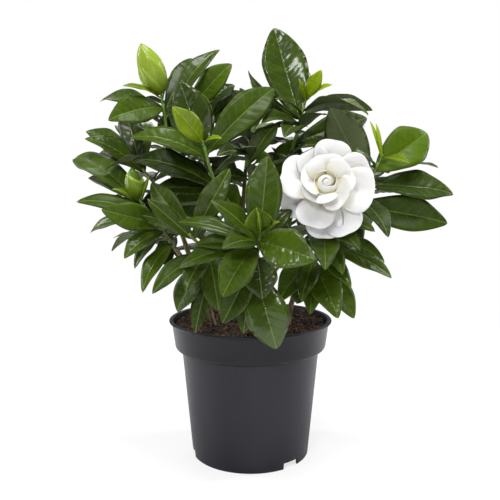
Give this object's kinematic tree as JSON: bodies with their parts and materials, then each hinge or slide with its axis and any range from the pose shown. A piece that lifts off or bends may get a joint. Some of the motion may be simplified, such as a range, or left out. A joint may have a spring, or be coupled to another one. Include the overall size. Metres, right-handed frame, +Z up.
{
  "type": "potted gardenia",
  "caption": "Leafy gardenia shrub with glossy dark green leaves, furled green buds and an open white double bloom, growing in a round charcoal plastic nursery pot filled with soil.",
  "frame": {"origin": "centre of the pot's base, on the surface it stands on", "axes": "+Z up; -Y is the front, where the bloom looks; +X to the right as seen from the front"},
  "size_m": [0.2975, 0.2377, 0.336],
  "materials": {
    "charcoal_plastic": "satin charcoal, injection moulded",
    "peat": "moist dark brown peat crumb, rough",
    "bark": "thin brown bark, dull",
    "leaf": "waxy, glossy dark green with raised side veins",
    "young_leaf": "soft bright yellow-green, half gloss",
    "petal": "white, velvety and dull"
  },
  "bodies": {
    "root": {"bloom": "petal", "bud_left": "young_leaf", "bud_rear_left": "young_leaf", "bud_top_left": "young_leaf", "calyx": "young_leaf", "pot": "charcoal_plastic", "shoot_bloom": "leaf", "shoot_centre": "leaf", "shoot_centre_front": "leaf", "shoot_core_left": "leaf", "shoot_core_right": "leaf", "shoot_front": "leaf", "shoot_front_left": "leaf", "shoot_left": "leaf", "shoot_left_centre": "leaf", "shoot_left_low": "leaf", "shoot_left_rear": "leaf", "shoot_rear_left": "leaf", "shoot_rear_low_left": "leaf", "shoot_rear_low_right": "leaf", "shoot_rear_right": "leaf", "shoot_rear_top": "leaf", "shoot_right": "leaf", "shoot_right_rear": "leaf", "shoot_top_centre": "leaf", "shoot_top_left": "leaf", "shoot_top_right": "leaf", "soil": "peat", "stem_back": "bark", "stem_centre": "bark", "stem_front": "bark", "stem_left": "bark", "stem_right": "bark", "tip_centre": "young_leaf", "tip_front": "young_leaf", "tip_left_centre": "young_leaf", "tip_rear_right": "young_leaf", "tip_rear_top": "young_leaf", "tip_right": "young_leaf", "tip_right_rear": "young_leaf", "tip_top_right": "young_leaf"}
  },
  "joints": []
}
